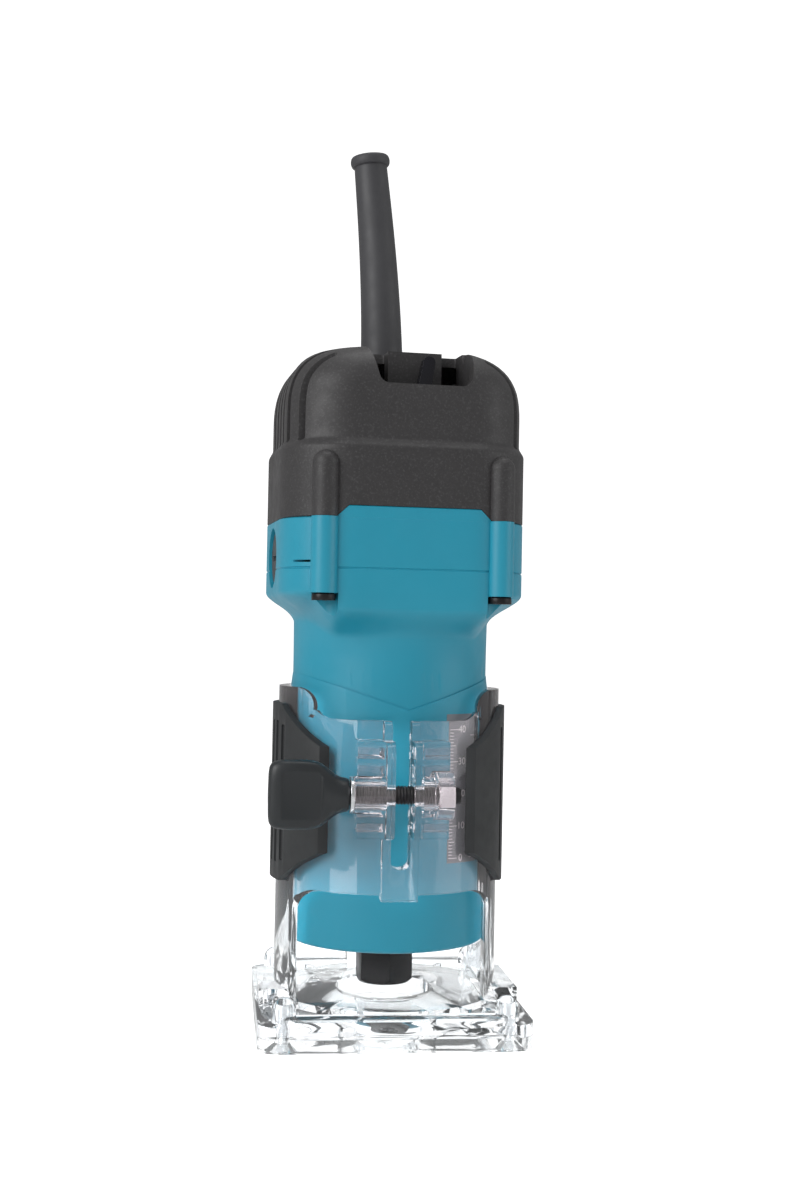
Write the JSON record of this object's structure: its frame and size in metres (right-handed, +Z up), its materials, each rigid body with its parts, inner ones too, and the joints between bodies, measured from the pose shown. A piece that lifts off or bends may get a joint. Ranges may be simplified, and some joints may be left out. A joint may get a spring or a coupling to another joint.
{
  "type": "trim router",
  "caption": "Compact trim router: a motor unit with spindle, collet and toggle switch that slides in a clear clamping base with a wing knob, depth scale and ribbed grips.",
  "frame": {"origin": "on the spindle axis in the plane of the sole, at the centre of the cutter opening", "axes": "+Z up along the spindle, -Y towards the clamping slot and bolt, +X towards the depth scale"},
  "size_m": [0.085, 0.0969, 0.2902],
  "materials": {
    "clear_polycarbonate": "clear moulded polycarbonate, polished",
    "zinc_steel": "bright zinc plate",
    "grip_rubber": "satin ribbed elastomer",
    "knob_plastic": "satin black nylon",
    "black_steel": "black oxide",
    "housing_plastic": "satin teal moulding",
    "cover_plastic": "spark-textured charcoal moulding",
    "guard_rubber": "soft matt elastomer",
    "scale_film": "printed grey film",
    "cap_plastic": "black phenolic",
    "brass": "stamped",
    "carbon": "pressed carbon",
    "lamination_steel": "stacked laminations",
    "copper": "enamelled wire and copper bars",
    "baffle_plastic": "moulded",
    "cast_alloy": "die cast",
    "bearing_steel": "ground",
    "capacitor_film": "dipped",
    "switch_plastic": "gloss black"
  },
  "bodies": {
    "base": {"clear_base": "clear_polycarbonate", "sole_sheet": "clear_polycarbonate", "sole_screws": "zinc_steel", "grip_left": "grip_rubber", "grip_right": "grip_rubber", "clamp_nut": "zinc_steel"},
    "clamp_travel": {"clamp_washer": "zinc_steel"},
    "clamp_knob": {"wing_knob": "knob_plastic", "clamp_bolt": "black_steel"},
    "motor_unit": {"motor_housing": "housing_plastic", "rear_cover": "cover_plastic", "cover_screws": "black_steel", "cord_guard": "guard_rubber", "cord_clamp": "cover_plastic", "cord_clamp_screws": "zinc_steel", "depth_scale": "scale_film", "brush_cap_left": "cap_plastic", "brush_cap_right": "cap_plastic", "brush_holder_left": "brass", "brush_holder_right": "brass", "carbon_brush_left": "carbon", "carbon_brush_right": "carbon", "brush_spring_left": "zinc_steel", "brush_spring_right": "zinc_steel", "stator_core": "lamination_steel", "field_coils": "copper", "fan_baffle": "baffle_plastic", "bearing_bridge": "cast_alloy", "bridge_screws": "zinc_steel", "upper_bearing": "bearing_steel", "lower_bearing": "bearing_steel", "bearing_retainer": "bearing_steel", "retainer_screws": "zinc_steel", "toggle_switch": "cap_plastic", "capacitor": "capacitor_film"},
    "armature": {"armature_shaft": "bearing_steel", "armature_core": "lamination_steel", "armature_windings": "copper", "commutator": "copper", "cooling_fan": "baffle_plastic", "upper_inner_race": "bearing_steel", "lower_inner_race": "bearing_steel"},
    "collet_travel": {"collet": "bearing_steel"},
    "collet_nut": {"collet_nut": "black_steel"},
    "switch_lever": {"switch_lever": "switch_plastic"}
  },
  "joints": [
    {"name": "depth_slide", "type": "slide", "parent": "base", "child": "motor_unit", "axis": [0, 0, 1], "range_m": [-0.0165, 0.04]},
    {"name": "clamp_draw", "type": "slide", "parent": "base", "child": "clamp_travel", "axis": [-1, 0, 0], "range_m": [0, 0.0021]},
    {"name": "clamp_turn", "type": "hinge", "parent": "clamp_travel", "child": "clamp_knob", "pos_m": [0, -0.0445, 0.0777], "axis": [-1, 0, 0], "range_deg": [0, 720]},
    {"name": "spindle_spin", "type": "hinge", "parent": "motor_unit", "child": "armature", "pos_m": [0, 0, 0.1], "axis": [0, 0, 1], "continuous": true},
    {"name": "collet_draw", "type": "slide", "parent": "armature", "child": "collet_travel", "axis": [0, 0, -1], "range_m": [0, 0.0023]},
    {"name": "collet_nut_turn", "type": "hinge", "parent": "collet_travel", "child": "collet_nut", "pos_m": [0, 0, 0.019], "axis": [0, 0, -1], "range_deg": [0, 540]},
    {"name": "switch_toggle", "type": "hinge", "parent": "motor_unit", "child": "switch_lever", "pos_m": [0.00523, -0.01962, 0.195], "axis": [-0.0872, 0.9962, 0], "range_deg": [-20, 0]}
  ],
  "couplings": [
    {"joint": "clamp_draw", "follows": "clamp_turn", "m_per_rad": 0.00015915},
    {"joint": "collet_draw", "follows": "collet_nut_turn", "m_per_rad": 0.00023873}
  ]
}
